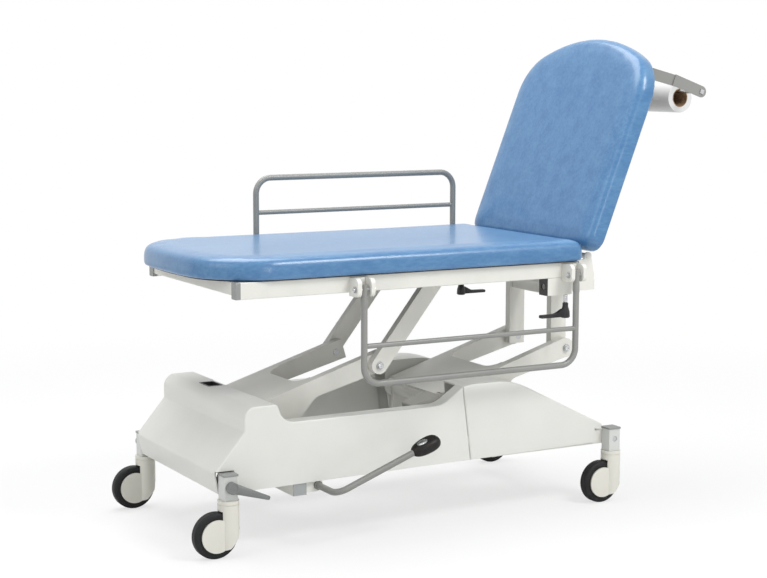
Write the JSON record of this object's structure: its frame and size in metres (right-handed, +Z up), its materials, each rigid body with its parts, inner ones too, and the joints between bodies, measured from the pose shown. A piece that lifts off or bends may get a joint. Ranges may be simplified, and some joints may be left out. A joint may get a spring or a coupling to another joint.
{
  "type": "treatment couch",
  "caption": "Two-section treatment couch on a parallel-arm hydraulic lift, with moulded casings, braked castors, folding cot sides and a paper roll holder.",
  "frame": {"origin": "on the floor, midway between the four castor swivels", "axes": "+X towards the head end, +Y towards the far side, +Z up"},
  "size_m": [1.7216, 0.772, 1.3731],
  "materials": {
    "casing": "satin moulded plastic, off-white",
    "frame_paint": "satin powder coat, cream-white",
    "castor_plastic": "satin moulded plastic, cream",
    "tyre": "smooth dark grey tread",
    "grey_cap": "mid-grey moulding",
    "bright_steel": "plated steel",
    "pump_metal": "grey enamel",
    "lever_paint": "mid-grey powder coat",
    "side_paint": "grey powder coat",
    "black_plastic": "black moulding",
    "black_metal": "black enamel",
    "board": "plain plywood",
    "upholstery": "soft mid-blue vinyl cloth",
    "card": "brown pressed card",
    "paper": "white tissue paper, wound"
  },
  "bodies": {
    "base": {"foot_casing": "casing", "head_casing": "casing", "chassis_side_beams": "frame_paint", "chassis_cross_beams": "frame_paint", "castor_sockets": "frame_paint", "socket_caps": "grey_cap", "arm_pivot_uprights": "frame_paint", "base_pivot_pins": "bright_steel", "pump_cross_tube": "frame_paint", "hydraulic_pump": "pump_metal", "valve_box": "grey_cap", "deck_tray": "black_plastic"},
    "castor_foot_near": {"castor_housing_foot_near": "castor_plastic"},
    "wheel_foot_near": {"castor_wheel_foot_near": "castor_plastic", "castor_tyre_foot_near": "tyre"},
    "castor_foot_far": {"castor_housing_foot_far": "castor_plastic"},
    "wheel_foot_far": {"castor_wheel_foot_far": "castor_plastic", "castor_tyre_foot_far": "tyre"},
    "castor_head_near": {"castor_housing_head_near": "castor_plastic"},
    "wheel_head_near": {"castor_wheel_head_near": "castor_plastic", "castor_tyre_head_near": "tyre"},
    "castor_head_far": {"castor_housing_head_far": "castor_plastic"},
    "wheel_head_far": {"castor_wheel_head_far": "castor_plastic", "castor_tyre_head_far": "tyre"},
    "foot_brake": {"brake_bar_foot": "bright_steel", "brake_pedals": "grey_cap"},
    "brake_rod": {"brake_link": "bright_steel"},
    "head_brake": {"brake_bar_head": "bright_steel"},
    "pump_pedal": {"pump_lever": "lever_paint", "pump_pad": "black_plastic"},
    "foot_fork": {"foot_fork_arms": "frame_paint", "foot_fork_web": "frame_paint"},
    "head_fork": {"head_fork_arms": "frame_paint", "head_fork_web": "frame_paint"},
    "ram": {"ram_rod": "bright_steel"},
    "couch_frame": {"frame_side_tubes": "frame_paint", "frame_cross_tubes": "frame_paint", "hinge_plates": "frame_paint", "tube_end_caps": "black_plastic", "foot_legs": "frame_paint", "head_legs": "frame_paint", "frame_pins_and_bolts": "bright_steel", "cot_brackets": "frame_paint", "accessory_receivers": "frame_paint", "receiver_plates": "black_plastic", "seat_board": "board", "seat_pad": "upholstery", "gas_spring_barrel": "black_metal"},
    "near_side": {"cot_side_near": "side_paint"},
    "far_side": {"cot_side_far": "side_paint"},
    "near_clamp": {"clamp_lever_near": "black_plastic"},
    "far_clamp": {"clamp_lever_far": "black_plastic"},
    "backrest": {"backrest_frame": "frame_paint", "backrest_board": "board", "backrest_pad": "upholstery", "roll_holder": "side_paint", "roll_spindle": "bright_steel"},
    "spring_rod": {"gas_spring_rod": "bright_steel"},
    "roll": {"roll_core": "card", "paper_roll": "paper"}
  },
  "joints": [
    {"name": "castor_swivel_foot_near", "type": "hinge", "parent": "base", "child": "castor_foot_near", "pos_m": [-0.622, -0.299, 0.154], "axis": [0, 0, 1], "continuous": true},
    {"name": "wheel_spin_foot_near", "type": "hinge", "parent": "castor_foot_near", "child": "wheel_foot_near", "pos_m": [-0.661, -0.299, 0.0625], "axis": [0, 1, 0], "continuous": true},
    {"name": "castor_swivel_foot_far", "type": "hinge", "parent": "base", "child": "castor_foot_far", "pos_m": [-0.622, 0.299, 0.154], "axis": [0, 0, 1], "continuous": true},
    {"name": "wheel_spin_foot_far", "type": "hinge", "parent": "castor_foot_far", "child": "wheel_foot_far", "pos_m": [-0.661, 0.299, 0.0625], "axis": [0, 1, 0], "continuous": true},
    {"name": "castor_swivel_head_near", "type": "hinge", "parent": "base", "child": "castor_head_near", "pos_m": [0.622, -0.299, 0.154], "axis": [0, 0, 1], "continuous": true},
    {"name": "wheel_spin_head_near", "type": "hinge", "parent": "castor_head_near", "child": "wheel_head_near", "pos_m": [0.583, -0.299, 0.0625], "axis": [0, 1, 0], "continuous": true},
    {"name": "castor_swivel_head_far", "type": "hinge", "parent": "base", "child": "castor_head_far", "pos_m": [0.622, 0.299, 0.154], "axis": [0, 0, 1], "continuous": true},
    {"name": "wheel_spin_head_far", "type": "hinge", "parent": "castor_head_far", "child": "wheel_head_far", "pos_m": [0.583, 0.299, 0.0625], "axis": [0, 1, 0], "continuous": true},
    {"name": "foot_brake_turn", "type": "hinge", "parent": "base", "child": "foot_brake", "pos_m": [-0.622, 0, 0.19], "axis": [0, 1, 0], "range_deg": [-42, 0]},
    {"name": "brake_rod_turn", "type": "hinge", "parent": "foot_brake", "child": "brake_rod", "pos_m": [-0.61197, 0.07, 0.21614], "axis": [0, 1, 0], "range_deg": [0, 42]},
    {"name": "head_brake_turn", "type": "hinge", "parent": "base", "child": "head_brake", "pos_m": [0.622, 0, 0.19], "axis": [0, 1, 0], "range_deg": [-42, 0]},
    {"name": "pump_pedal_turn", "type": "hinge", "parent": "base", "child": "pump_pedal", "pos_m": [-0.346, 0, 0.155], "axis": [0, 1, 0], "range_deg": [-8, 22], "stiffness_Nm_per_rad": 60, "springref_deg": -2.29},
    {"name": "lift", "type": "hinge", "parent": "base", "child": "foot_fork", "pos_m": [-0.512, 0, 0.316], "axis": [0, -1, 0], "range_deg": [-24, 20]},
    {"name": "head_fork_turn", "type": "hinge", "parent": "base", "child": "head_fork", "pos_m": [0.132, 0, 0.316], "axis": [0, -1, 0], "range_deg": [-24, 20]},
    {"name": "ram_slide", "type": "slide", "parent": "base", "child": "ram", "axis": [1, 0, 0], "range_m": [-0.03771, 0.03143]},
    {"name": "couch_level", "type": "hinge", "parent": "foot_fork", "child": "couch_frame", "pos_m": [-0.08954, 0, 0.44597], "axis": [0, -1, 0], "range_deg": [-20, 24]},
    {"name": "near_side_fold", "type": "hinge", "parent": "couch_frame", "child": "near_side", "pos_m": [0, -0.342, 0.693], "axis": [-1, 0, 0], "range_deg": [0, 180]},
    {"name": "far_side_fold", "type": "hinge", "parent": "couch_frame", "child": "far_side", "pos_m": [0, 0.342, 0.693], "axis": [-1, 0, 0], "range_deg": [0, 180]},
    {"name": "near_clamp_turn", "type": "hinge", "parent": "couch_frame", "child": "near_clamp", "pos_m": [0.457, -0.288, 0.62], "axis": [0, 0, 1], "range_deg": [-100, 15]},
    {"name": "far_clamp_turn", "type": "hinge", "parent": "couch_frame", "child": "far_clamp", "pos_m": [0.457, 0.288, 0.62], "axis": [0, 0, 1], "range_deg": [-100, 15]},
    {"name": "backrest_raise", "type": "hinge", "parent": "couch_frame", "child": "backrest", "pos_m": [0.5448, 0, 0.736], "axis": [0, -1, 0], "range_deg": [-68.2, 7]},
    {"name": "spring_slide", "type": "slide", "parent": "couch_frame", "child": "spring_rod", "axis": [1, 0, 0], "range_m": [-0.05596, 0.00575]},
    {"name": "roll_spin", "type": "hinge", "parent": "backrest", "child": "roll", "pos_m": [0.95313, 0, 1.19327], "axis": [0, 1, 0], "continuous": true}
  ],
  "couplings": [
    {"joint": "brake_rod_turn", "follows": "foot_brake_turn", "ratio": -1},
    {"joint": "head_brake_turn", "follows": "foot_brake_turn", "ratio": 1},
    {"joint": "head_fork_turn", "follows": "lift", "ratio": 1},
    {"joint": "couch_level", "follows": "lift", "ratio": -1},
    {"joint": "ram_slide", "follows": "lift", "m_per_rad": 0.09},
    {"joint": "spring_slide", "follows": "backrest_raise", "m_per_rad": 0.047}
  ]
}
